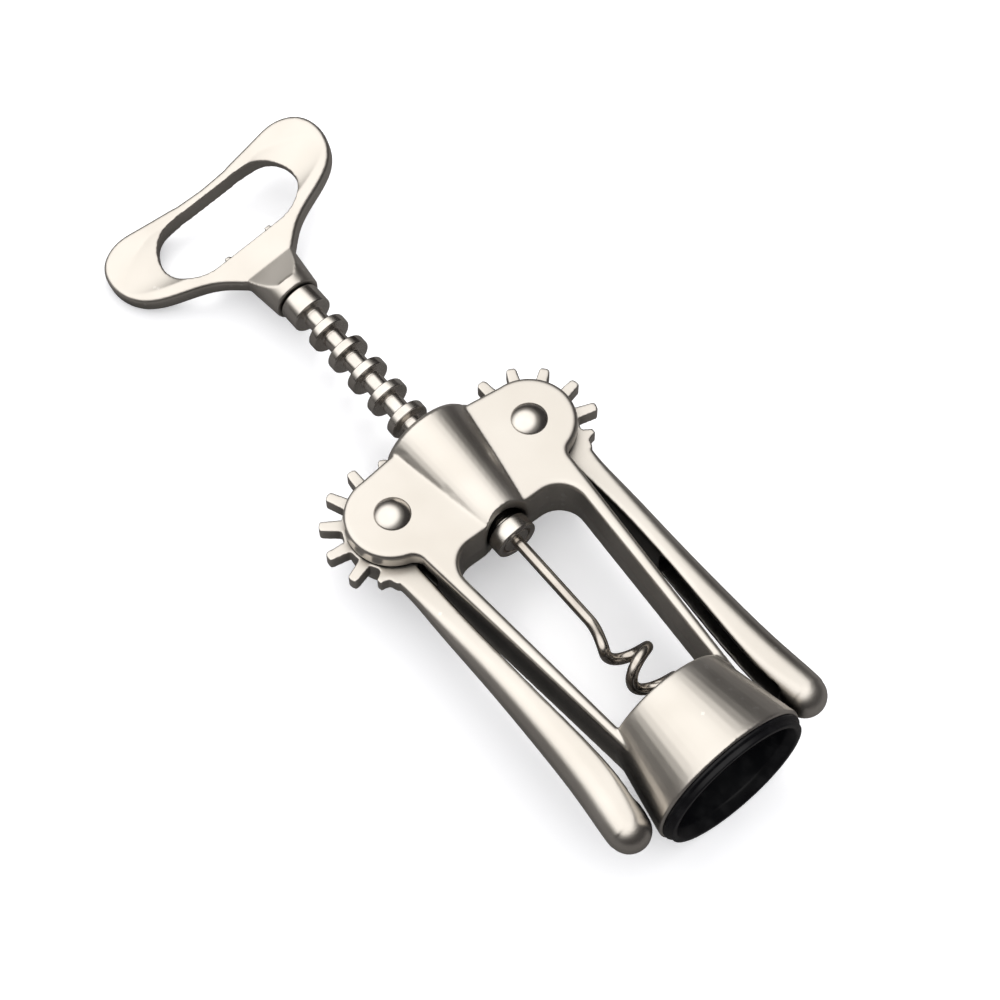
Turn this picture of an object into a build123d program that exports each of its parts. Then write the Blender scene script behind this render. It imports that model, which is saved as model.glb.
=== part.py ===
from build123d import *
import math
import os

# Lever (wing) corkscrew, lying on its back.  Millimetres.
# +Y runs along the screw axis from the bottle mouth to the handle, +X is right, +Z is the front face.
# The origin is on the screw axis, in the plane of the collar's metal mouth.

# ---------------------------------------------------------------- driving dimensions
# collar that goes over the bottle
MOUTH_R = 19.25            # outer radius at the mouth
COLLAR_TOP_R = 15.1        # outer radius at the open top
COLLAR_H = 21.2
COLLAR_WALL = 1.9          # wall at the open top
COLLAR_SEAT_R = 18.0       # tapered seat for the liner, at the mouth
RIM_ROUND = 0.4

# plastic liner
LINER_FLANGE_R = 18.7      # flange against the collar's rim
LINER_FLANGE = 0.9
LINER_NOSE_R = 18.0        # narrower nose in front of the flange
LINER_LIP = 2.3            # how far the nose stands out of the mouth
LINER_MOUTH_R = 16.6
LINER_BORE_R = 15.3        # the bottle's lip goes in here, from the collar's mouth plane on
LINER_SHOULDER_Y = 11.1    # the bottle's lip stops here
LINER_END_Y = 12.6
LINER_THROAT_R = 12.2

# pivots, rack and gears
PIVOT_X = 19.25
PIVOT_Y = 91.0
TEETH_PER_TURN = 13
GEAR_TEETH = 9             # full teeth on each lever
FIRST_TOOTH_DEG = -22.4    # lowest inner tooth, measured from the direction of the rack
PLAY_DEG = 2.0             # the right gear's teeth lie this much further round, within the backlash
GEAR_TIP_R = 16.5
GEAR_ROOT_R = 11.5
TOOTH_TIP_W = 2.4
TOOTH_ROOT_W = 3.2
TOOTH_ROUND = 0.8
RACK_PITCH = 7.4
RACK_RING_R = 4.97
RACK_RING_W = 2.5
RACK_CORE_R = 2.55
RACK_RINGS = 9
RACK_TOP_RING_Y = 140.7
MESH_CLEARANCE = 0.5       # between the gear tips and the slot they turn in

# cheeks, arms and cone of the frame
CHEEK_Z = 6.5              # half thickness over both cheeks
SLOT_Z = 2.2               # half width of the slot between them
LOBE_R = 10.9
CHEEK_TOP_Y = 103.0
ARM_FOOT_Y = 14.0
ARM_IN_FOOT_X = 12.7       # inner face of an arm where it leaves the collar, at COLLAR_H
ARM_IN_TOP_X = 16.0        # inner face at WINDOW_SIDE_Y
ARM_OUT_FOOT_X = 15.5
ARM_OUT_TOP_X = 20.6
ARM_TOP_Y = 77.5
WINDOW_SIDE_Y = 68.0
WINDOW_TOP_Y = 74.7
WINDOW_ROUND = 6.0
ARCH_Y = 76.8              # top of the arch in the cone's foot
JUNCTION_ROUND = 3.0       # where a lobe runs into its arm
WINDOW_DRAFT = 4.0         # degrees, from the parting plane outwards
FRAME_ROUND = 1.1
CONE_FOOT_Y = 75.4
CONE_TOP_Y = 104.5
CONE_TOP_R = 11.8
CONE_FOOT_R = 8.3
RACK_BORE_R = 5.3

# rivets
RIVET_R = 2.6
RIVET_HEAD_R = 4.2
RIVET_HEAD_H = 1.6
RIVET_STUD_R = 1.2
RIVET_STUD_L = 4.5
HINGE_CLEARANCE = 0.05

# levers: (y, inner x, outer x, depth in z, inner and outer corner radius) from the gear to the round end
LEVER_PLATE_Z = 1.9
LEVER_SECTIONS = [
    (79.5, 21.4, 27.4, 3.8, 0.5, 0.8),
    (70.0, 21.3, 27.0, 5.2, 0.8, 1.8),
    (58.0, 21.3, 27.0, 8.0, 1.0, 3.0),
    (44.0, 20.8, 27.0, 9.8, 1.0, 3.9),
    (30.0, 20.0, 27.4, 10.4, 1.0, 4.4),
    (17.6, 19.4, 28.1, 10.4, 1.4, 4.6),
    (8.3, 19.4, 29.1, 10.0, 3.0, 4.6),
    (4.0, 19.5, 29.4, 9.7, 4.4, 4.4),
]
LEVER_END_R = 4.9
NECK_EDGE = [              # from the gear round the last, low tooth to the bar, measured from the pivot
    (9.1, -6.0), (9.4, -7.6), (11.3, -8.8), (11.1, -10.0), (9.0, -10.5), (8.5, -12.0),
]
POCKET_TOP_Y = 48.0
POCKET_FOOT_Y = 7.0
POCKET_TOP_W = 7.8
POCKET_FOOT_W = 7.4
POCKET_ROUND = 2.0
POCKET_FLOOR_X = 24.8

# stop collar under the arch
STOP_R = 5.2
STOP_FOOT_Y = 71.2
STOP_TOP_Y = 75.2
STOP_RECESS_R = 3.7
STOP_RECESS = 1.0
FOOT_FLANGE_R = 3.4
FOOT_FLANGE = 0.8
SHOULDER_R = 3.7
END_PLAY = 0.1

# spindle top, worm
SLEEVE_R = 5.05
SLEEVE_FOOT_Y = 146.8
SLEEVE_TOP_Y = 152.3
SPIGOT_R = 3.2
SPIGOT_TOP_Y = 161.0
WIRE_R = 1.35
WORM_SOCKET_Y = 96.0       # the wire goes this far up inside the spindle
WORM_START_Y = 46.5        # the straight shank ends here
WORM_FULL_Y = 38.2         # the turns begin here, at the left
WORM_END_Y = 14.5          # the point stays clear above the bottle's seat
WORM_R = 3.9
WORM_PITCH = 9.1
WORM_OFF_X = 1.4           # the turns are wound a little off the shank's axis
WORM_OFF_Z = 0.5
TIP_R = 0.2
TIP_L = 5.0

# handle
HANDLE_Z = 2.4             # half thickness
HANDLE_TURN = 10.0         # how far the handle is turned about the screw axis at rest
HUB_FOOT_Y = 152.7
HUB_FOOT_R = 5.9
HUB_TOP_Y = 164.5
HUB_TOP_R = 7.1
FACET_FOOT_Y = 155.5
FACET_FOOT_Z = 5.7
FACET_TOP_Y = 163.5
HANDLE_OUTLINE = [         # right half, from the hub round the lobe to the top middle
    (6.9, 163.0), (12.0, 167.6), (20.4, 171.6), (28.0, 176.1), (31.3, 184.2),
    (29.0, 191.0), (24.0, 193.5), (17.0, 193.0), (8.0, 191.6), (0.0, 191.0),
]
FINGER_HOLE = [            # right half, from the bottom edge round the end to the top middle
    (9.0, 171.2), (14.5, 172.6), (18.4, 176.6), (19.1, 180.2), (17.3, 185.3),
    (13.0, 188.2), (7.0, 188.7), (0.0, 188.7),
]
HANDLE_ROUND = 1.2
SCOOP_R = 20.0             # thumb scoops: a ball at the finger hole that runs out along a sloping trough
SCOOP_Y = 181.5
SCOOP_BALL_X = 15.5
SCOOP_APEX_X = 28.5
SCOOP_DEPTH = 1.6
LIP_HALF_W = 6.8
LIP_REACH = 1.3
NUB_W = 1.6


# ---------------------------------------------------------------- helpers
def turned(points):
    """Solid of revolution about the screw axis from (radius, y) points."""
    return revolve(make_face(Polyline(*points, close=True)), axis=Axis.Y)


def plate(sketch, z_low, z_high):
    """Extrude a sketch in the XY plane between two heights."""
    return Pos(0, 0, z_low) * extrude(sketch, amount=z_high - z_low)


def outline_of(points):
    """Closed sketch inside a polygon."""
    return make_face(Polyline(*points, close=True))


def both_sides(shape):
    """The shape and its mirror image in the YZ plane, as one."""
    return shape + mirror(shape, about=Plane.YZ)


def disc_z(radius, z_low, z_high, x, y):
    """Cylinder along Z."""
    return Pos(x, y, z_low) * Cylinder(radius, z_high - z_low, align=(Align.CENTER, Align.CENTER, Align.MIN))


def seat_r(y):
    """Radius of the tapered seat that holds the liner at y."""
    return COLLAR_SEAT_R + y / COLLAR_H * (COLLAR_TOP_R - MOUTH_R)


# ---------------------------------------------------------------- frame
def frame_outline():
    """Cheeks and arms in the XY plane, without the window."""
    half = [
        (0, CHEEK_TOP_Y), (10, CHEEK_TOP_Y), (PIVOT_X, PIVOT_Y + LOBE_R), (PIVOT_X, PIVOT_Y),
        (ARM_OUT_TOP_X, PIVOT_Y), (ARM_OUT_TOP_X, ARM_TOP_Y), (ARM_OUT_FOOT_X, COLLAR_H),
        (ARM_OUT_FOOT_X - 0.6, ARM_FOOT_Y), (0, ARM_FOOT_Y),
    ]
    lobe = Pos(PIVOT_X, PIVOT_Y) * Circle(LOBE_R)
    outline = outline_of(half) + lobe
    junction_y = PIVOT_Y - math.sqrt(LOBE_R ** 2 - (ARM_OUT_TOP_X - PIVOT_X) ** 2)
    junction = outline.vertices().filter_by(
        lambda v: abs(v.X - ARM_OUT_TOP_X) < 0.01 and abs(v.Y - junction_y) < 0.01)
    return both_sides(fillet(junction, JUNCTION_ROUND))


def window_outline():
    """The window between the arms, from below the collar's top to the cone's foot."""
    slope = (ARM_IN_TOP_X - ARM_IN_FOOT_X) / (WINDOW_SIDE_Y - COLLAR_H)
    foot_x = ARM_IN_FOOT_X - slope * (COLLAR_H - ARM_FOOT_Y)
    top_x = ARM_IN_TOP_X + slope * (WINDOW_TOP_Y - WINDOW_SIDE_Y)
    corners = [
        (-foot_x, ARM_FOOT_Y - 1), (-foot_x, ARM_FOOT_Y), (-top_x, WINDOW_TOP_Y),
        (top_x, WINDOW_TOP_Y), (foot_x, ARM_FOOT_Y), (foot_x, ARM_FOOT_Y - 1),
    ]
    window = outline_of(corners)
    upper = window.vertices().filter_by(lambda v: v.Y > WINDOW_TOP_Y - 0.1)
    return fillet(upper, WINDOW_ROUND)


def make_body_frame():
    """One casting: collar, two arms, front and back cheeks and the central cone."""
    window = extrude(window_outline(), amount=CHEEK_Z, taper=-WINDOW_DRAFT)
    blank = plate(frame_outline(), -CHEEK_Z, CHEEK_Z) - window - mirror(window, about=Plane.XY)
    rims = blank.edges().filter_by(lambda e: abs(abs(e.center().Z) - CHEEK_Z) < 0.01)
    rims = rims.filter_by(lambda e: e.center().Y > ARM_FOOT_Y + 2)
    blank = fillet(rims, FRAME_ROUND)

    cone = turned([
        (0, CONE_FOOT_Y), (CONE_FOOT_R, CONE_FOOT_Y), (CONE_TOP_R, CONE_TOP_Y - 1.2),
        (CONE_TOP_R - 1.0, CONE_TOP_Y), (0, CONE_TOP_Y),
    ])
    arch = Pos(0, WINDOW_TOP_Y - 8.0, 0) * Cylinder(8.0 + ARCH_Y - WINDOW_TOP_Y, 40)
    collar = turned([
        (0, 0), (MOUTH_R - RIM_ROUND, 0), (MOUTH_R, RIM_ROUND), (COLLAR_TOP_R, COLLAR_H - RIM_ROUND),
        (COLLAR_TOP_R - RIM_ROUND, COLLAR_H), (0, COLLAR_H),
    ])
    seat_end = LINER_END_Y
    hollow = turned([
        (0, -1), (seat_r(-1), -1), (seat_r(seat_end), seat_end), (COLLAR_TOP_R - COLLAR_WALL + 0.8, seat_end),
        (COLLAR_TOP_R - COLLAR_WALL, COLLAR_H + 0.1), (0, COLLAR_H + 0.1),
    ])
    bore = turned([(0, 60), (RACK_BORE_R, 60), (RACK_BORE_R, 120), (0, 120)])
    body = (blank - arch - bore) + (cone - arch - bore) + collar - hollow
    for side in (-1, 1):
        x = side * PIVOT_X
        body -= disc_z(GEAR_TIP_R + MESH_CLEARANCE, -SLOT_Z, SLOT_Z, x, PIVOT_Y)
        body -= disc_z(RIVET_R, -20, 20, x, PIVOT_Y)
    return body


def make_neck_liner():
    """Plastic ring pressed into the collar; the bottle's lip goes into its bore."""
    return turned([
        (LINER_MOUTH_R, -LINER_LIP), (LINER_NOSE_R - 0.5, -LINER_LIP), (LINER_NOSE_R, 0.5 - LINER_LIP),
        (LINER_NOSE_R, -LINER_FLANGE), (LINER_FLANGE_R, -LINER_FLANGE), (LINER_FLANGE_R, 0),
        (seat_r(0), 0), (seat_r(LINER_END_Y), LINER_END_Y), (LINER_THROAT_R, LINER_END_Y),
        (LINER_THROAT_R, LINER_SHOULDER_Y), (LINER_BORE_R, LINER_SHOULDER_Y), (LINER_BORE_R, 0),
        (LINER_MOUTH_R, -1.2),
    ])


# ---------------------------------------------------------------- rivets
def dome(radius, height):
    """Shallow domed head standing on z = 0."""
    ball_r = (radius ** 2 + height ** 2) / (2 * height)
    ball = Pos(0, 0, height - ball_r) * Sphere(ball_r)
    return ball & disc_z(radius, 0, height, 0, 0)


def make_rivet_post(side):
    """Front head and shank, drilled at the back for the cap's stud."""
    post = Pos(0, 0, CHEEK_Z) * dome(RIVET_HEAD_R, RIVET_HEAD_H)
    post += disc_z(RIVET_R, -CHEEK_Z, CHEEK_Z, 0, 0)
    post -= disc_z(RIVET_STUD_R, -CHEEK_Z, RIVET_STUD_L - CHEEK_Z, 0, 0)
    return Pos(side * PIVOT_X, PIVOT_Y, 0) * post


def make_rivet_cap(side):
    """Back head with the stud that is driven into the post."""
    cap = Pos(0, 0, -CHEEK_Z) * (Rot(180, 0, 0) * dome(RIVET_HEAD_R, RIVET_HEAD_H))
    cap += disc_z(RIVET_STUD_R, -CHEEK_Z, RIVET_STUD_L - CHEEK_Z, 0, 0)
    return Pos(side * PIVOT_X, PIVOT_Y, 0) * cap


# ---------------------------------------------------------------- levers
def gear_outline(play):
    """Gear of the right lever, with teeth towards the rack and over the top."""
    tooth = outline_of([
        (GEAR_ROOT_R - 2, -TOOTH_ROOT_W / 2), (GEAR_TIP_R, -TOOTH_TIP_W / 2),
        (GEAR_TIP_R, TOOTH_TIP_W / 2), (GEAR_ROOT_R - 2, TOOTH_ROOT_W / 2),
    ])
    tooth = fillet(tooth.vertices().filter_by(lambda v: v.X > GEAR_TIP_R - 0.1), TOOTH_ROUND)
    gear = Circle(GEAR_ROOT_R)
    step = 360 / TEETH_PER_TURN
    for number in range(GEAR_TEETH):
        gear += Rot(0, 0, 180 - FIRST_TOOTH_DEG - number * step + play) * tooth
    return Pos(PIVOT_X, PIVOT_Y) * gear


def neck_outline():
    """Flat neck from the gear's root to the head of the bar, with the shoulder beside the last tooth."""
    y, inner, outer, *_ = LEVER_SECTIONS[0]
    edge = [(PIVOT_X + right, PIVOT_Y + up) for right, up in NECK_EDGE]
    return outline_of([(inner, y - 1), (inner, edge[0][1])] + edge + [(outer, y - 1)])


def lever_bar():
    """Bar from the flat neck down to the round end."""
    sections = []
    for y, inner, outer, depth, inner_round, outer_round in LEVER_SECTIONS:
        across = Plane(origin=(0, y, 0), x_dir=(1, 0, 0), z_dir=(0, 1, 0))
        half = depth / 2
        section = outline_of([(inner, -half), (outer, -half), (outer, half), (inner, half)])
        section = fillet(section.vertices().filter_by(lambda v: v.X > (inner + outer) / 2), outer_round)
        section = fillet(section.vertices().sort_by(Axis.X)[:2], inner_round)
        sections.append(across * section)
    bar = loft(sections)
    y, inner, outer, *_ = LEVER_SECTIONS[-1]
    return bar + Pos((inner + outer) / 2, y, 0) * (Rot(90, 0, 0) * Sphere(LEVER_END_R))


def pocket():
    """Pocket in the inner side of the bar, wider towards the round end."""
    lay = Plane(origin=(POCKET_FLOOR_X, 0, 0), x_dir=(0, 1, 0), z_dir=(-1, 0, 0))
    slot = outline_of([
        (POCKET_FOOT_Y, -POCKET_FOOT_W / 2), (POCKET_TOP_Y, -POCKET_TOP_W / 2),
        (POCKET_TOP_Y, POCKET_TOP_W / 2), (POCKET_FOOT_Y, POCKET_FOOT_W / 2),
    ])
    slot = fillet(slot.vertices(), POCKET_ROUND)
    return extrude(lay * slot, amount=10, dir=(-1, 0, 0))


def make_lever(side):
    """Lever with its gear sector; side is 1 for the right one, -1 for the left one."""
    play = PLAY_DEG if side > 0 else 0
    lever = plate(gear_outline(play) + neck_outline(), -LEVER_PLATE_Z, LEVER_PLATE_Z)
    lever += lever_bar()
    lever -= pocket()
    lever -= disc_z(RIVET_R + HINGE_CLEARANCE, -20, 20, PIVOT_X, PIVOT_Y)
    if side < 0:
        lever = mirror(lever, about=Plane.YZ)
    return lever


# ---------------------------------------------------------------- spindle, stop collar, worm
def make_stop_collar():
    """Ring that rides on the spindle's foot and stops it under the cone."""
    bore_r = RACK_CORE_R + HINGE_CLEARANCE
    return turned([
        (STOP_RECESS_R, STOP_FOOT_Y), (STOP_R - 0.7, STOP_FOOT_Y), (STOP_R, STOP_FOOT_Y + 0.7),
        (STOP_R, STOP_TOP_Y - 0.3), (STOP_R - 0.3, STOP_TOP_Y), (bore_r, STOP_TOP_Y),
        (bore_r, STOP_FOOT_Y + STOP_RECESS), (STOP_RECESS_R, STOP_FOOT_Y + STOP_RECESS),
    ])


def make_rack_spindle():
    """Round rack: a core with rings that the gears push, a foot for the stop collar and a top spigot."""
    journal_foot = STOP_FOOT_Y + STOP_RECESS - END_PLAY
    shoulder = STOP_TOP_Y + END_PLAY
    points = [
        (WIRE_R, journal_foot - FOOT_FLANGE), (FOOT_FLANGE_R, journal_foot - FOOT_FLANGE),
        (FOOT_FLANGE_R, journal_foot), (RACK_CORE_R, journal_foot), (RACK_CORE_R, shoulder),
        (SHOULDER_R, shoulder), (SHOULDER_R, shoulder + 1.0), (RACK_CORE_R, shoulder + 1.6),
    ]
    edge = 0.35
    for number in reversed(range(RACK_RINGS)):
        low = RACK_TOP_RING_Y - number * RACK_PITCH - RACK_RING_W / 2
        high = low + RACK_RING_W
        points += [
            (RACK_CORE_R, low), (RACK_RING_R - edge, low), (RACK_RING_R, low + edge),
            (RACK_RING_R, high - edge), (RACK_RING_R - edge, high), (RACK_CORE_R, high),
        ]
    points += [
        (RACK_CORE_R, SLEEVE_FOOT_Y), (SLEEVE_R - edge, SLEEVE_FOOT_Y), (SLEEVE_R, SLEEVE_FOOT_Y + edge),
        (SLEEVE_R, SLEEVE_TOP_Y), (SPIGOT_R, SLEEVE_TOP_Y), (SPIGOT_R, SPIGOT_TOP_Y), (0, SPIGOT_TOP_Y),
        (0, WORM_SOCKET_Y), (WIRE_R, WORM_SOCKET_Y),
    ]
    return turned(points)


def make_worm():
    """Pointed wire: a straight shank in the spindle, a bend off the axis, then a right-handed helix."""
    lay = Plane(origin=(WORM_OFF_X, WORM_FULL_Y, WORM_OFF_Z), x_dir=(-1, 0, 0), z_dir=(0, -1, 0))
    turns = lay * Helix(pitch=WORM_PITCH, height=WORM_FULL_Y - WORM_END_Y, radius=WORM_R)
    bend = Spline((0, WORM_START_Y, 0), turns @ 0, tangents=[(0, -1, 0), turns % 0])
    wire = turned([(0, WORM_START_Y), (WIRE_R, WORM_START_Y), (WIRE_R, WORM_SOCKET_Y), (0, WORM_SOCKET_Y)])
    for path in (bend, turns):
        wire += sweep(Plane(origin=path @ 0, z_dir=path % 0) * Circle(WIRE_R), path=path, is_frenet=True)
    point = Plane(origin=turns @ 1, z_dir=turns % 1) * Cone(
        WIRE_R, TIP_R, TIP_L, align=(Align.CENTER, Align.CENTER, Align.MIN))
    return wire + point


# ---------------------------------------------------------------- handle
def handle_outline():
    """Two-lobed bow, without the finger hole."""
    right = Spline(*HANDLE_OUTLINE, tangents=[(0.72, 0.69), (-1, -0.05)])
    x, y = HANDLE_OUTLINE[0]
    top = HANDLE_OUTLINE[-1]
    edge = right + Polyline(top, (0, y), (x, y))
    return both_sides(make_face(edge))


def finger_hole():
    """The hole that a finger goes through, which is also the cap lifter."""
    x, y = FINGER_HOLE[0]
    right = Spline(*FINGER_HOLE, tangents=[(1, 0), (-1, 0)])
    edge = right + Polyline(FINGER_HOLE[-1], (0, y), (x, y))
    return both_sides(make_face(edge))


def make_handle():
    """Bow handle with its hub, thumb scoops and cap lip."""
    bow = plate(handle_outline(), -HANDLE_Z, HANDLE_Z)
    bow = fillet(bow.edges().filter_by(lambda e: abs(abs(e.center().Z) - HANDLE_Z) < 0.01), HANDLE_ROUND)
    hole = plate(finger_hole(), -HANDLE_Z - 1, HANDLE_Z + 1)
    bow -= hole
    hub = turned([(0, HUB_FOOT_Y), (HUB_FOOT_R, HUB_FOOT_Y), (HUB_TOP_R, HUB_TOP_Y), (0, HUB_TOP_Y)])
    wedge = outline_of([
        (FACET_FOOT_Y, FACET_FOOT_Z), (FACET_TOP_Y, HANDLE_Z), (FACET_TOP_Y + 9, HANDLE_Z),
        (FACET_TOP_Y + 9, 20), (FACET_FOOT_Y - 2, 20),
    ])
    side = Plane(origin=(-15, 0, 0), x_dir=(0, 1, 0), z_dir=(1, 0, 0))
    facet = extrude(side * wedge, amount=30)
    hub = hub - facet - mirror(facet, about=Plane.XY)
    body = bow + hub
    body -= turned([(0, HUB_FOOT_Y - 1), (SPIGOT_R, HUB_FOOT_Y - 1), (SPIGOT_R, SPIGOT_TOP_Y), (0, SPIGOT_TOP_Y)])

    ball = (SCOOP_BALL_X, SCOOP_Y, HANDLE_Z + SCOOP_R - SCOOP_DEPTH)
    run = Plane(origin=ball, z_dir=(SCOOP_APEX_X - SCOOP_BALL_X, 0, SCOOP_DEPTH))
    trough = run * Cylinder(SCOOP_R, 30, align=(Align.CENTER, Align.CENTER, Align.MIN))
    scoop = trough + Pos(*ball) * Sphere(SCOOP_R)
    for cut in (scoop, mirror(scoop, about=Plane.XY)):
        body = body - cut - mirror(cut, about=Plane.YZ)

    hole_foot = FINGER_HOLE[0][1]
    lip = Pos(0, hole_foot, -HANDLE_Z) * Box(
        2 * LIP_HALF_W, 2 * LIP_REACH, HANDLE_Z - 0.3, align=(Align.CENTER, Align.CENTER, Align.MIN))
    nub = Pos(LIP_HALF_W - NUB_W / 2, hole_foot, -HANDLE_Z) * Box(
        NUB_W, 2 * LIP_REACH + 0.6, HANDLE_Z + 0.6, align=(Align.CENTER, Align.CENTER, Align.MIN))
    body = body + lip + both_sides(nub)
    return Rot(0, -HANDLE_TURN, 0) * body


# ---------------------------------------------------------------- write
def main():
    parts = {
        "body_frame": make_body_frame(),
        "neck_liner": make_neck_liner(),
        "left_rivet_post": make_rivet_post(-1),
        "right_rivet_post": make_rivet_post(1),
        "left_rivet_cap": make_rivet_cap(-1),
        "right_rivet_cap": make_rivet_cap(1),
        "left_lever": make_lever(-1),
        "right_lever": make_lever(1),
        "stop_collar": make_stop_collar(),
        "rack_spindle": make_rack_spindle(),
        "worm": make_worm(),
        "handle": make_handle(),
    }
    os.makedirs("parts", exist_ok=True)
    for name, shape in parts.items():
        export_step(shape, f"parts/{name}.step")


main()
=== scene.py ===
"""Wing corkscrew: castings, turned parts, rivets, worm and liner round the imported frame."""

import logging
import math
from dataclasses import dataclass
from enum import Enum
from typing import Protocol

import bmesh
import bpy
from mathutils import Matrix, Vector


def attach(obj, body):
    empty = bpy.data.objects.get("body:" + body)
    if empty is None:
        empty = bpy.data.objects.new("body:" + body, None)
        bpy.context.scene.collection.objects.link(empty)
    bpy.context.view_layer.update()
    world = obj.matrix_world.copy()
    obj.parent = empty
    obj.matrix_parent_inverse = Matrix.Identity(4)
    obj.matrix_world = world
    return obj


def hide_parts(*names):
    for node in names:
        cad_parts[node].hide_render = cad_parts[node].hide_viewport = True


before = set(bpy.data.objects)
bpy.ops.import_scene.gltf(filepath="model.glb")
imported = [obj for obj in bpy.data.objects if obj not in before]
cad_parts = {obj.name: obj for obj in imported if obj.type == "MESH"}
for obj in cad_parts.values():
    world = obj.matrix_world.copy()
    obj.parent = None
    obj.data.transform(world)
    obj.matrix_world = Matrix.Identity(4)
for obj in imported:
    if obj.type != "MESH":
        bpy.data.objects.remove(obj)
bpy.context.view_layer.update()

LOG = logging.getLogger("corkscrew")
MM = 0.001
FULL_TURN = 2 * math.pi
SCREW_AXIS = Vector((0, 1, 0))
FRONT_AXIS = Vector((0, 0, 1))
ORIGIN = Vector((0, 0, 0))
WELD = 1e-6  # metres within which two vertices are one
CORNER_SEGMENTS = 4  # edges that round a corner of a turned outline

Span = tuple[float, float]
Colour = tuple[float, float, float]
Spot = tuple[float, float, float]
WHOLE: Span = (0.0, 1.0)
BLACK: Colour = (0.0, 0.0, 0.0)


class Slot(Enum):
    """Material slots of the record."""

    SATIN = "nickel_satin"
    BRIGHT = "nickel_bright"
    LINER = "liner_black"


class Body(Enum):
    """Moving bodies of the corkscrew."""

    FRAME = "frame"
    LEFT_LEVER = "left_lever"
    RIGHT_LEVER = "right_lever"
    STOP_COLLAR = "stop_collar"
    SPINDLE = "spindle"


class Side(Enum):
    """The two sides of the corkscrew, by the sign of x."""

    LEFT = -1
    RIGHT = 1


# ---------------------------------------------------------------- finishes
@dataclass(frozen=True)
class Grain:
    """A noise pattern on Object coordinates: scale per metre, detail and stretch by axis."""

    scale: float
    detail: float = 3.0
    stretch: Spot = (1.0, 1.0, 1.0)


@dataclass(frozen=True)
class Relief:
    """How far a pattern stands out as bump: its strength, and its depth in metres."""

    strength: float
    depth: float


@dataclass(frozen=True)
class PaintedGapShade:
    """Painted shade in narrow gaps, from ambient occlusion: how near the walls count, and what is
    left of the colour.
    """

    reach: float = 0.012
    floor: float = 0.10
    window: Span = (0.30, 0.72)
    samples: int = 6


class NodeSheet:
    """Small helper that lays out the nodes of one material."""

    def __init__(self, name: str) -> None:
        """Start a material with a plain Principled shader.

        Args:
            name: the material's name.
        """
        self.material = bpy.data.materials.new(name)
        self.material.use_nodes = True
        self.tree = self.material.node_tree
        self.shader = self.tree.nodes["Principled BSDF"]
        self.place = self.tree.nodes.new("ShaderNodeTexCoord")

    def grain(self, grain: Grain) -> bpy.types.NodeSocket:
        """Add a noise texture.

        Args:
            grain: the pattern's scale, detail and stretch.

        Returns:
            The noise's factor output.
        """
        mapping = self.tree.nodes.new("ShaderNodeMapping")
        mapping.inputs["Scale"].default_value = grain.stretch
        noise = self.tree.nodes.new("ShaderNodeTexNoise")
        noise.inputs["Scale"].default_value = grain.scale
        noise.inputs["Detail"].default_value = grain.detail
        self.tree.links.new(self.place.outputs["Object"], mapping.inputs["Vector"])
        self.tree.links.new(mapping.outputs["Vector"], noise.inputs["Vector"])
        return noise.outputs["Fac"]

    def spread(self, source: bpy.types.NodeSocket, span: Span,
               window: Span = (0.3, 0.7)) -> bpy.types.NodeSocket:
        """Map a factor to a range.

        Args:
            source: the factor to map.
            span: the values at the window's two ends.
            window: the part of the factor's range that is used.

        Returns:
            The mapped value.
        """
        reach = self.tree.nodes.new("ShaderNodeMapRange")
        reach.inputs["From Min"].default_value, reach.inputs["From Max"].default_value = window
        reach.inputs["To Min"].default_value, reach.inputs["To Max"].default_value = span
        self.tree.links.new(source, reach.inputs["Value"])
        return reach.outputs["Result"]

    def tint(self, factor: bpy.types.NodeSocket, low: Colour | bpy.types.NodeSocket,
             high: Colour | bpy.types.NodeSocket) -> bpy.types.NodeSocket:
        """Mix two colours by a factor.

        Args:
            factor: 0 gives the low colour and 1 the high one.
            low: a colour, or the socket that gives it.
            high: a colour, or the socket that gives it.

        Returns:
            The mixed colour.
        """
        mix = self.tree.nodes.new("ShaderNodeMix")
        mix.data_type = "RGBA"
        self.tree.links.new(factor, mix.inputs["Factor"])
        for name, shade in (("A", low), ("B", high)):
            if isinstance(shade, tuple):
                mix.inputs[name].default_value = (*shade, 1.0)
            else:
                self.tree.links.new(shade, mix.inputs[name])
        return mix.outputs["Result"]

    def bump(self, height: bpy.types.NodeSocket, relief: Relief) -> None:
        """Make the shader's surface stand out by a height.

        Args:
            height: the pattern's height, 0 to 1.
            relief: how far it stands out.
        """
        bump = self.tree.nodes.new("ShaderNodeBump")
        bump.inputs["Strength"].default_value = relief.strength
        bump.inputs["Distance"].default_value = relief.depth
        self.tree.links.new(height, bump.inputs["Height"])
        self.feed("Normal", bump.outputs["Normal"])

    def paint_gap_shade(self, colour: bpy.types.NodeSocket, gap_shade: PaintedGapShade) -> bpy.types.NodeSocket:
        """Paint shade into a colour in narrow gaps and pockets, darker where walls are near.

        Args:
            colour: the colour on open surfaces.
            gap_shade: where and how far the painted shade darkens.

        Returns:
            The darkened colour.
        """
        # painted shade: the colour is blackened where ambient occlusion finds near walls
        nearness = self.tree.nodes.new("ShaderNodeAmbientOcclusion")
        nearness.inputs["Distance"].default_value = gap_shade.reach
        nearness.samples = gap_shade.samples
        share = self.spread(nearness.outputs["AO"], (gap_shade.floor, 1.0), gap_shade.window)
        return self.tint(share, BLACK, colour)

    def feed(self, socket: str, source: bpy.types.NodeSocket) -> None:
        """Link a source to one of the shader's inputs."""
        self.tree.links.new(source, self.shader.inputs[socket])


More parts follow.
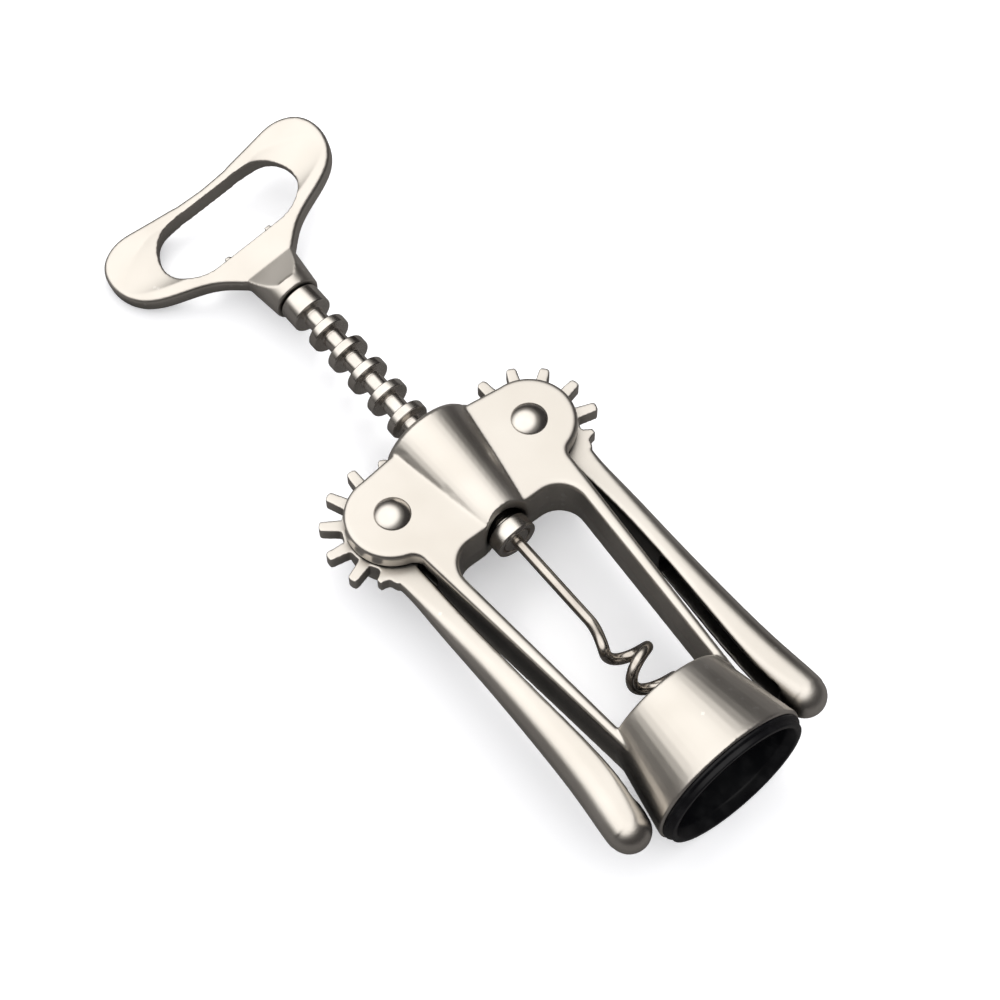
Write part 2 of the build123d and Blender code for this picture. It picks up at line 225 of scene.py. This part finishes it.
@dataclass(frozen=True)
class PearlNickel:
    """Satin nickel plating on a die casting: fine blasted grain, faint clouds, rubbed edges, and
    painted shade in narrow gaps and pockets.
    """

    name: str = "pearl_nickel"
    dull: Colour = (0.60, 0.565, 0.52)
    clean: Colour = (0.70, 0.665, 0.62)
    rubbed: Colour = (0.80, 0.77, 0.73)
    roughness: Span = (0.30, 0.38)
    cloud: Grain = Grain(60.0, 2.0)
    blast: Grain = Grain(5200.0, 2.0)
    relief: Relief = Relief(0.10, 0.00004)
    wear: Span = (0.0, 0.7)
    edge_window: Span = (0.52, 0.58)
    # painted shade in gaps and pockets, darkening the base colour
    gap_shade: PaintedGapShade = PaintedGapShade()

    def make(self) -> bpy.types.Material:
        """Build the material.

        Returns:
            The finished material.
        """
        sheet = NodeSheet(self.name)
        cloud = sheet.grain(self.cloud)
        base = sheet.tint(sheet.spread(cloud, WHOLE), self.dull, self.clean)
        edges = sheet.tree.nodes.new("ShaderNodeNewGeometry")
        wear = sheet.spread(edges.outputs["Pointiness"], self.wear, self.edge_window)
        # base colour with rubbed edges, then painted shade in gaps and pockets
        sheet.feed("Base Color", sheet.paint_gap_shade(sheet.tint(wear, base, self.rubbed), self.gap_shade))
        sheet.feed("Roughness", sheet.spread(cloud, self.roughness))
        sheet.shader.inputs["Metallic"].default_value = 1.0
        sheet.bump(sheet.grain(self.blast), self.relief)
        return sheet.material


@dataclass(frozen=True)
class TurnedNickel:
    """Polished nickel on a turned part: tool rings round the screw axis and handling marks."""

    name: str = "turned_nickel"
    dull: Colour = (0.60, 0.56, 0.52)
    clean: Colour = (0.74, 0.71, 0.67)
    roughness: Span = (0.16, 0.28)
    rings: Grain = Grain(900.0, 3.0, (0.05, 1.0, 0.05))
    marks: Grain = Grain(140.0, 4.0)
    relief: Relief = Relief(0.25, 0.00003)

    def make(self) -> bpy.types.Material:
        """Build the material.

        Returns:
            The finished material.
        """
        sheet = NodeSheet(self.name)
        marks = sheet.grain(self.marks)
        rings = sheet.grain(self.rings)
        shade = sheet.tint(sheet.spread(marks, WHOLE), self.dull, self.clean)
        sheet.feed("Base Color", shade)
        sheet.feed("Roughness", sheet.spread(marks, self.roughness))
        sheet.shader.inputs["Metallic"].default_value = 1.0
        sheet.bump(rings, self.relief)
        return sheet.material


@dataclass(frozen=True)
class DrawnWire:
    """Drawn and plated steel wire of the worm: darker, with fine streaks."""

    name: str = "drawn_wire"
    dull: Colour = (0.44, 0.40, 0.36)
    clean: Colour = (0.66, 0.62, 0.57)
    roughness: Span = (0.14, 0.28)
    streaks: Grain = Grain(700.0, 4.0, (1.0, 0.15, 1.0))
    relief: Relief = Relief(0.15, 0.00003)

    def make(self) -> bpy.types.Material:
        """Build the material.

        Returns:
            The finished material.
        """
        sheet = NodeSheet(self.name)
        streaks = sheet.grain(self.streaks)
        shade = sheet.tint(sheet.spread(streaks, WHOLE), self.dull, self.clean)
        sheet.feed("Base Color", shade)
        sheet.feed("Roughness", sheet.spread(streaks, self.roughness))
        sheet.shader.inputs["Metallic"].default_value = 1.0
        sheet.bump(streaks, self.relief)
        return sheet.material


@dataclass(frozen=True)
class BlackNylon:
    """Moulded black plastic of the liner: slight sheen, fine mould texture and pale scuffs."""

    name: str = "black_nylon"
    body: Colour = (0.004, 0.004, 0.005)
    scuffed: Colour = (0.014, 0.014, 0.015)
    roughness: Span = (0.26, 0.42)
    scuffs: Grain = Grain(260.0, 4.0)
    scuff_window: Span = (0.5, 0.8)
    texture: Grain = Grain(3500.0, 2.0)
    relief: Relief = Relief(0.12, 0.00005)
    sheen: float = 0.2

    def make(self) -> bpy.types.Material:
        """Build the material.

        Returns:
            The finished material.
        """
        sheet = NodeSheet(self.name)
        scuffs = sheet.grain(self.scuffs)
        scuffed = sheet.spread(scuffs, WHOLE, self.scuff_window)
        sheet.feed("Base Color", sheet.tint(scuffed, self.body, self.scuffed))
        sheet.feed("Roughness", sheet.spread(scuffs, self.roughness))
        sheet.shader.inputs["Specular IOR Level"].default_value = self.sheen
        sheet.bump(sheet.grain(self.texture), self.relief)
        return sheet.material


@dataclass(frozen=True)
class PaperSweep:
    """White paper of the studio floor, which the metal mirrors more dimly than it looks."""

    name: str = "paper_sweep"
    seen: Colour = (0.95, 0.95, 0.955)
    mirrored: Colour = (0.13, 0.125, 0.12)
    glow: float = 0.24
    roughness: float = 0.9

    def make(self) -> bpy.types.Material:
        """Build the material.

        Returns:
            The finished material.
        """
        sheet = NodeSheet(self.name)
        path = sheet.tree.nodes.new("ShaderNodeLightPath")
        in_view = path.outputs["Is Camera Ray"]
        sheet.feed("Base Color", sheet.tint(in_view, self.mirrored, self.seen))
        sheet.feed("Emission Strength", sheet.spread(in_view, (0.0, self.glow), WHOLE))
        sheet.shader.inputs["Emission Color"].default_value = (1.0, 1.0, 1.0, 1.0)
        sheet.shader.inputs["Roughness"].default_value = self.roughness
        sheet.shader.inputs["Specular IOR Level"].default_value = 0.0
        return sheet.material


@dataclass
class Finishes:
    """The finished materials, made once and shared."""

    pearl: bpy.types.Material
    turned: bpy.types.Material
    wire: bpy.types.Material
    nylon: bpy.types.Material
    paper: bpy.types.Material

    @classmethod
    def make(cls) -> "Finishes":
        """Make every material."""
        return cls(PearlNickel().make(), TurnedNickel().make(), DrawnWire().make(),
                   BlackNylon().make(), PaperSweep().make())


class Piece(Protocol):
    """A sub-assembly that is built and then dressed."""

    def build(self) -> bpy.types.Object:
        """Build the mesh and put it in the scene."""

    def dress(self, piece: bpy.types.Object, finishes: Finishes) -> bpy.types.Object:
        """Give the mesh its finish, CAD node and body."""


# ---------------------------------------------------------------- shared modelling steps
def link_mesh(name: str, mesh: bpy.types.Mesh) -> bpy.types.Object:
    """Put a mesh in the scene.

    Args:
        name: the piece's name.
        mesh: its mesh.

    Returns:
        The new piece.
    """
    piece = bpy.data.objects.new(name, mesh)
    bpy.context.scene.collection.objects.link(piece)
    return piece


def bake_modifiers(piece: bpy.types.Object) -> None:
    """Apply a piece's modifiers to its mesh.

    Args:
        piece: the piece whose modifiers are finished.
    """
    graph = bpy.context.evaluated_depsgraph_get()
    mesh = bpy.data.meshes.new_from_object(piece.evaluated_get(graph))
    old = piece.data
    piece.modifiers.clear()
    piece.data = mesh
    bpy.data.meshes.remove(old)


def settle(name: str, shape: bmesh.types.BMesh) -> bpy.types.Object:
    """Make a finished bmesh a piece of the scene, and free it.

    Args:
        name: the piece's name.
        shape: its finished shape.

    Returns:
        The new piece.
    """
    mesh = bpy.data.meshes.new(name)
    shape.to_mesh(mesh)
    shape.free()
    return link_mesh(name, mesh)


def turned(name: str, outline: list[Span], ease: float, steps: int = 96) -> bpy.types.Object:
    """Turn a closed outline about the screw axis.

    Args:
        name: the piece's name.
        outline: (radius, y) corners in millimetres, in order, closed back to the first.
        ease: how far each corner is rounded, in millimetres.
        steps: faces round the axis.

    Returns:
        The new piece, with smooth shading.
    """
    shape = bmesh.new()
    corners = [shape.verts.new((r * MM, y * MM, 0)) for r, y in outline]
    for here, there in zip(corners, corners[1:] + corners[:1]):
        shape.edges.new((here, there))
    round_ones = [v for v in corners if v.co.x > WELD]
    bmesh.ops.bevel(shape, geom=round_ones, offset=ease * MM, segments=CORNER_SEGMENTS, profile=0.5,
                    affect="VERTICES", material=-1, clamp_overlap=True)
    bmesh.ops.spin(shape, geom=shape.verts[:] + shape.edges[:], cent=ORIGIN, axis=SCREW_AXIS,
                   angle=FULL_TURN, steps=steps, use_merge=True)
    bmesh.ops.remove_doubles(shape, verts=shape.verts, dist=WELD)
    bmesh.ops.recalc_face_normals(shape, faces=shape.faces)
    piece = settle(name, shape)
    piece.data.shade_smooth()
    return piece


def dress(piece: bpy.types.Object, material: bpy.types.Material, body: Body,
          node: str) -> bpy.types.Object:
    """Give a piece its finish, its body and the CAD node that it stands for.

    Args:
        piece: the finished piece.
        material: its finish.
        body: the moving body that it rides on.
        node: the CAD node that it replaces.

    Returns:
        The same piece.
    """
    piece.data.materials.clear()
    piece.data.materials.append(material)
    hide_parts(node)
    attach(piece, body.value)
    LOG.info("%s: %d faces on %s", piece.name, len(piece.data.polygons), body.value)
    return piece


# ---------------------------------------------------------------- castings
@dataclass
class DieCasting:
    """A zinc casting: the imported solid's skin, with the soft edges of tumbling and plating."""

    node: str
    body: Body
    voxel: float = 0.30
    tumbling: int = 5
    softening: float = 0.5

    def build(self) -> bpy.types.Object:
        """Merge a copy of the solid's skin, even its mesh out and ease its edges.

        Returns:
            The new piece, with smooth shading.
        """
        shape = bmesh.new()
        shape.from_mesh(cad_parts[self.node].data)
        bmesh.ops.remove_doubles(shape, verts=shape.verts, dist=WELD)
        bmesh.ops.recalc_face_normals(shape, faces=shape.faces)
        piece = settle(self.node + "_cast", shape)
        even = piece.modifiers.new("even", "REMESH")
        even.mode = "VOXEL"
        even.voxel_size = self.voxel * MM
        tumble = piece.modifiers.new("tumble", "SMOOTH")
        tumble.factor = self.softening
        tumble.iterations = self.tumbling
        bake_modifiers(piece)
        piece.data.shade_smooth()
        return piece

    def dress(self, piece: bpy.types.Object, finishes: Finishes) -> bpy.types.Object:
        """Plate the casting."""
        return dress(piece, finishes.pearl, self.body, self.node)


# ---------------------------------------------------------------- liner and rivets
@dataclass
class NeckLiner:
    """Black plastic ring in the collar. Sizes in millimetres."""

    nose_r: float = 18.0
    flange_r: float = 18.68
    flange_y: float = -0.9
    nose_y: float = -2.28
    mouth_r: float = 16.6
    bore_r: float = 15.3
    throat_r: float = 12.2
    shoulder_y: float = 11.1
    end_y: float = 12.58
    seat_r: float = 17.95
    seat_end_r: float = 15.5
    ease: float = 0.35

    def build(self) -> bpy.types.Object:
        """Turn the liner's section."""
        return turned("neck_liner_ring", [
            (self.mouth_r, self.nose_y), (self.nose_r, self.nose_y), (self.nose_r, self.flange_y),
            (self.flange_r, self.flange_y), (self.flange_r, 0.0), (self.seat_r, 0.0),
            (self.seat_end_r, self.end_y), (self.throat_r, self.end_y),
            (self.throat_r, self.shoulder_y), (self.bore_r, self.shoulder_y), (self.bore_r, 0.0),
        ], ease=self.ease)

    def dress(self, piece: bpy.types.Object, finishes: Finishes) -> bpy.types.Object:
        """Give the liner its plastic."""
        return dress(piece, finishes.nylon, Body.FRAME, "neck_liner")


@dataclass
class Rivet:
    """One domed rivet half, front post or back cap. Sizes in millimetres."""

    side: Side
    front: bool
    pivot_y: float = 91.0
    pivot_x: float = 19.25
    cheek_z: float = 6.5
    head_r: float = 4.18
    head_h: float = 1.58
    shank_r: float = 2.58
    stud_r: float = 1.18
    stud_l: float = 4.4
    end_gap: float = 0.05
    arc_steps: int = 14
    turn_steps: int = 64

    @property
    def node(self) -> str:
        """Name of the CAD node that this half stands for."""
        return f"{self.side.name.lower()}_rivet_{'post' if self.front else 'cap'}"

    def outline(self) -> list[Span]:
        """Draw the half section of a rivet half whose head looks along +Z.

        Returns:
            Its (radius, height) corners in millimetres, from the stem's end to the crown.
        """
        if self.front:
            stem_r, end = self.shank_r, -2 * self.cheek_z + self.end_gap
        else:
            stem_r, end = self.stud_r, -self.stud_l
        ball_r = (self.head_r ** 2 + self.head_h ** 2) / (2 * self.head_h)
        reach = math.asin(self.head_r / ball_r)
        dome = []
        for step in range(self.arc_steps + 1):
            angle = reach * (1 - step / self.arc_steps)
            dome.append((ball_r * math.sin(angle), self.head_h - ball_r * (1 - math.cos(angle))))
        return [(0.0, end), (stem_r, end), (stem_r, 0.0)] + dome

    def build(self) -> bpy.types.Object:
        """Turn the half and set it in its cheek.

        Returns:
            The new piece, with smooth shading.
        """
        shape = bmesh.new()
        line = [shape.verts.new((r * MM, 0, z * MM)) for r, z in self.outline()]
        for here, there in zip(line, line[1:]):
            shape.edges.new((here, there))
        bmesh.ops.spin(shape, geom=shape.verts[:] + shape.edges[:], cent=ORIGIN, axis=FRONT_AXIS,
                       angle=FULL_TURN, steps=self.turn_steps, use_merge=True)
        bmesh.ops.remove_doubles(shape, verts=shape.verts, dist=WELD)
        pivot = Vector((self.side.value * self.pivot_x, self.pivot_y, 0)) * MM
        turn = Matrix.Identity(4) if self.front else Matrix.Rotation(math.pi, 4, "X")
        lift = Matrix.Translation(FRONT_AXIS * self.cheek_z * MM)
        place = Matrix.Translation(pivot) @ turn @ lift
        bmesh.ops.transform(shape, matrix=place, verts=shape.verts)
        bmesh.ops.recalc_face_normals(shape, faces=shape.faces)
        piece = settle(self.node + "_turned", shape)
        piece.data.shade_smooth()
        return piece

    def dress(self, piece: bpy.types.Object, finishes: Finishes) -> bpy.types.Object:
        """Polish the rivet."""
        return dress(piece, finishes.turned, Body.FRAME, self.node)


# ---------------------------------------------------------------- spindle, stop collar, worm
@dataclass
class RackSpindle:
    """Turned round rack with its rings, foot, sleeve and top spigot. Sizes in millimetres."""

    core_r: float = 2.55
    ring_r: float = 4.95
    ring_w: float = 2.45
    pitch: float = 7.4
    rings: int = 9
    top_ring_y: float = 140.7
    foot_y: float = 71.32
    foot_r: float = 3.38
    foot_top_y: float = 72.1
    shoulder_y: float = 75.32
    shoulder_r: float = 3.68
    shoulder_l: float = 1.0
    shoulder_end_l: float = 1.5
    sleeve_r: float = 5.03
    sleeve_foot_y: float = 146.8
    sleeve_top_y: float = 152.3
    spigot_r: float = 3.18
    spigot_top_y: float = 160.9
    ease: float = 0.45

    def build(self) -> bpy.types.Object:
        """Turn the spindle.

        Returns:
            The new piece, with smooth shading.
        """
        line = [(0.0, self.foot_y), (self.foot_r, self.foot_y), (self.foot_r, self.foot_top_y),
                (self.core_r, self.foot_top_y), (self.core_r, self.shoulder_y),
                (self.shoulder_r, self.shoulder_y),
                (self.shoulder_r, self.shoulder_y + self.shoulder_l),
                (self.core_r, self.shoulder_y + self.shoulder_end_l)]
        for number in reversed(range(self.rings)):
            low = self.top_ring_y - number * self.pitch - self.ring_w / 2
            high = low + self.ring_w
            line += [(self.core_r, low), (self.ring_r, low),
                     (self.ring_r, high), (self.core_r, high)]
        line += [(self.core_r, self.sleeve_foot_y), (self.sleeve_r, self.sleeve_foot_y),
                 (self.sleeve_r, self.sleeve_top_y), (self.spigot_r, self.sleeve_top_y),
                 (self.spigot_r, self.spigot_top_y), (0.0, self.spigot_top_y)]
        return turned("rack_spindle_turned", line, ease=self.ease)

    def dress(self, piece: bpy.types.Object, finishes: Finishes) -> bpy.types.Object:
        """Polish the spindle."""
        return dress(piece, finishes.turned, Body.SPINDLE, "rack_spindle")


@dataclass
class StopCollar:
    """Ring on the spindle's foot. Sizes in millimetres."""

    outer_r: float = 5.18
    bore_r: float = 2.6
    foot_y: float = 71.22
    top_y: float = 75.18
    recess_r: float = 3.7
    recess_y: float = 72.2
    ease: float = 0.45

    def build(self) -> bpy.types.Object:
        """Turn the ring."""
        return turned("stop_collar_turned", [
            (self.recess_r, self.foot_y), (self.outer_r, self.foot_y), (self.outer_r, self.top_y),
            (self.bore_r, self.top_y), (self.bore_r, self.recess_y),
            (self.recess_r, self.recess_y),
        ], ease=self.ease)

    def dress(self, piece: bpy.types.Object, finishes: Finishes) -> bpy.types.Object:
        """Polish the ring."""
        return dress(piece, finishes.turned, Body.STOP_COLLAR, "stop_collar")


@dataclass
class Worm:
    """Pointed wire of the screw. Sizes in millimetres."""

    wire_r: float = 1.33
    top_y: float = 95.9
    bend_y: float = 46.5
    turns_y: float = 38.2
    end_y: float = 14.5
    turn_r: float = 3.9
    pitch: float = 9.1
    off_x: float = 1.4
    off_z: float = 0.5
    tip_l: float = 4.9
    tip: tuple[Span, ...] = ((0.5, 0.6), (1.0, 0.12))  # share of tip_l, share of wire_r
    per_turn: int = 40
    bend_steps: int = 16
    probe: float = 0.05
    roundness: int = 8

    def on_turns(self, y: float) -> Vector:
        """Centre of the wire on the helix at height y, in metres."""
        angle = FULL_TURN * (self.turns_y - y) / self.pitch
        return Vector((self.off_x - self.turn_r * math.cos(angle), y,
                       self.off_z - self.turn_r * math.sin(angle))) * MM

    def bend(self) -> list[Vector]:
        """Lead the wire smoothly from the shank into the first turn.

        Returns:
            Centres of the wire on the bend, in metres.
        """
        start = Vector((0, self.bend_y, 0)) * MM
        finish = self.on_turns(self.turns_y)
        reach = (finish - start).length
        leave = Vector((0, -reach, 0))
        arrive = (self.on_turns(self.turns_y - self.probe) - finish).normalized() * reach
        centres = []
        for step in range(self.bend_steps):
            t = step / self.bend_steps
            centres.append(start * (2 * t ** 3 - 3 * t ** 2 + 1)
                           + finish * (3 * t ** 2 - 2 * t ** 3)
                           + leave * (t ** 3 - 2 * t ** 2 + t)
                           + arrive * (t ** 3 - t ** 2))
        return centres

    def path(self) -> list[Vector]:
        """Lead the wire from the top of the shank to the point.

        Returns:
            Centres of the wire, in metres.
        """
        middle_y = (self.top_y + self.bend_y) / 2
        shank = [SCREW_AXIS * y * MM for y in (self.top_y, middle_y)]
        drop = self.turns_y - self.end_y
        count = int(self.per_turn * drop / self.pitch)
        helix = [self.on_turns(self.turns_y - drop * i / count) for i in range(count + 1)]
        way = (helix[-1] - helix[-2]).normalized()
        point = [helix[-1] + way * self.tip_l * MM * along for along, _ in self.tip]
        return shank + self.bend() + helix + point

    def build(self) -> bpy.types.Object:
        """Draw the wire along its path and sharpen the point.

        Returns:
            The new piece, with smooth shading.
        """
        points = self.path()
        curve = bpy.data.curves.new("worm_line", "CURVE")
        curve.dimensions = "3D"
        curve.bevel_depth = self.wire_r * MM
        curve.bevel_resolution = self.roundness
        curve.use_fill_caps = True
        line = curve.splines.new("POLY")
        line.points.add(len(points) - 1)
        for spot, point in zip(line.points, points):
            spot.co = (*point, 1.0)
        for number, (_, share) in enumerate(self.tip, start=-len(self.tip)):
            line.points[number].radius = share
        drawn = bpy.data.objects.new("worm_line", curve)
        bpy.context.scene.collection.objects.link(drawn)
        graph = bpy.context.evaluated_depsgraph_get()
        mesh = bpy.data.meshes.new_from_object(drawn.evaluated_get(graph))
        bpy.data.objects.remove(drawn)
        mesh.shade_smooth()
        return link_mesh("worm_wire", mesh)

    def dress(self, piece: bpy.types.Object, finishes: Finishes) -> bpy.types.Object:
        """Plate the wire."""
        return dress(piece, finishes.wire, Body.SPINDLE, "worm")


# ---------------------------------------------------------------- studio
@dataclass
class Studio:
    """Pale floor under the lying corkscrew, soft light and the camera."""

    floor_tilt: float = math.radians(3.56)
    floor_z: float = -0.01932
    floor_size: float = 6.0
    azimuth: float = math.radians(-38.25)
    elevation: float = math.radians(61.58)
    roll: float = math.radians(-0.45)
    distance: float = 0.55588
    aim: Spot = (0.00342, 0.0817, 0.0)
    lens: float = 90.0
    sensor: float = 36.0
    clip_start: float = 0.01
    panel_place: Spot = (0.62, 0.62, 0.9)
    panel_size: float = 0.42
    panel_power: float = 4.6
    panel_colour: Colour = (1.0, 0.99, 0.97)
    ceiling_way: Spot = (-0.24, 0.36, 1.0)
    wall_stop: tuple[float, Colour] = (0.34, (0.018, 0.016, 0.015))
    cove_stop: tuple[float, Colour] = (0.56, (0.14, 0.135, 0.127))
    ceiling_stop: tuple[float, Colour] = (0.80, (1.0, 0.985, 0.955))
    ambient: Colour = (0.70, 0.70, 0.71)
    air_strength: float = 1.62

    def lay_floor(self, finishes: Finishes) -> None:
        """Lay the floor, tilted so that the collar and the handle both rest on it.

        Args:
            finishes: the materials, of which the floor takes the paper.
        """
        shape = bmesh.new()
        bmesh.ops.create_grid(shape, x_segments=2, y_segments=2, size=self.floor_size / 2)
        tilt = Matrix.Rotation(self.floor_tilt, 4, "X")
        place = Matrix.Translation((0, 0, self.floor_z)) @ tilt
        bmesh.ops.transform(shape, matrix=place, verts=shape.verts)
        floor = settle("floor", shape)
        floor.data.materials.append(finishes.paper)

    def hang_panel(self) -> None:
        """Hang a soft box on the right, behind, that faces the corkscrew."""
        light = bpy.data.lights.new("side_panel", "AREA")
        light.shape = "RECTANGLE"
        light.size = light.size_y = self.panel_size
        light.energy = self.panel_power
        light.color = self.panel_colour
        panel = bpy.data.objects.new("side_panel", light)
        bpy.context.scene.collection.objects.link(panel)
        panel.location = self.panel_place
        panel.visible_glossy = False
        towards = Vector(self.aim) - Vector(self.panel_place)
        panel.rotation_mode = "QUATERNION"
        panel.rotation_quaternion = towards.to_track_quat("-Z", "Y")

    def fill_air(self) -> None:
        """Give the metal a bright ceiling over dark walls to mirror, in an even light."""
        world = bpy.data.worlds.new("studio_air")
        world.use_nodes = True
        tree = world.node_tree
        air = tree.nodes["Background"]
        place = tree.nodes.new("ShaderNodeTexCoord")
        aside = tree.nodes.new("ShaderNodeVectorMath")
        aside.operation = "DOT_PRODUCT"
        aside.inputs[1].default_value = Vector(self.ceiling_way).normalized()
        ceiling = tree.nodes.new("ShaderNodeValToRGB")
        ramp = ceiling.color_ramp
        ramp.interpolation = "EASE"
        for element, (at, colour) in zip(ramp.elements, (self.wall_stop, self.ceiling_stop)):
            element.position, element.color = at, (*colour, 1.0)
        at, colour = self.cove_stop
        ramp.elements.new(at).color = (*colour, 1.0)
        path = tree.nodes.new("ShaderNodeLightPath")
        mirrored = tree.nodes.new("ShaderNodeMix")
        mirrored.data_type = "RGBA"
        mirrored.inputs["A"].default_value = (*self.ambient, 1.0)
        tree.links.new(place.outputs["Generated"], aside.inputs[0])
        tree.links.new(aside.outputs["Value"], ceiling.inputs["Fac"])
        tree.links.new(path.outputs["Is Glossy Ray"], mirrored.inputs["Factor"])
        tree.links.new(ceiling.outputs["Color"], mirrored.inputs["B"])
        tree.links.new(mirrored.outputs["Result"], air.inputs["Color"])
        air.inputs["Strength"].default_value = self.air_strength
        bpy.context.scene.world = world

    def set_camera(self) -> None:
        """Set up the camera above the front face."""
        flat = math.cos(self.elevation)
        back = Vector((math.sin(self.azimuth) * flat, -math.cos(self.azimuth) * flat,
                       math.sin(self.elevation)))
        right = Vector((math.cos(self.azimuth), math.sin(self.azimuth), 0))
        up = back.cross(right)
        turned_right = right * math.cos(self.roll) + up * math.sin(self.roll)
        turned_up = up * math.cos(self.roll) - right * math.sin(self.roll)
        data = bpy.data.cameras.new("camera")
        data.lens = self.lens
        data.sensor_width = self.sensor
        data.clip_start = self.clip_start
        camera = bpy.data.objects.new("camera", data)
        bpy.context.scene.collection.objects.link(camera)
        turn = Matrix((turned_right, turned_up, back)).transposed().to_4x4()
        camera.matrix_world = Matrix.Translation(Vector(self.aim) + back * self.distance) @ turn
        bpy.context.scene.camera = camera

    def build(self, finishes: Finishes) -> None:
        """Lay the floor, set the light and set the camera.

        Args:
            finishes: the materials, of which the floor takes the paper.
        """
        self.lay_floor(finishes)
        self.hang_panel()
        self.fill_air()
        self.set_camera()
        bpy.context.scene.view_settings.view_transform = "Standard"


def main() -> None:
    """Build and dress every piece, then the studio."""
    logging.basicConfig(level=logging.INFO, format="%(message)s")
    finishes = Finishes.make()
    pieces: list[Piece] = [
        DieCasting("body_frame", Body.FRAME),
        DieCasting("left_lever", Body.LEFT_LEVER),
        DieCasting("right_lever", Body.RIGHT_LEVER),
        DieCasting("handle", Body.SPINDLE),
        NeckLiner(), RackSpindle(), StopCollar(), Worm(),
    ]
    pieces += [Rivet(side, front) for side in Side for front in (True, False)]
    for piece in pieces:
        piece.dress(piece.build(), finishes)
    Studio().build(finishes)


if __name__ == "__main__":
    main()
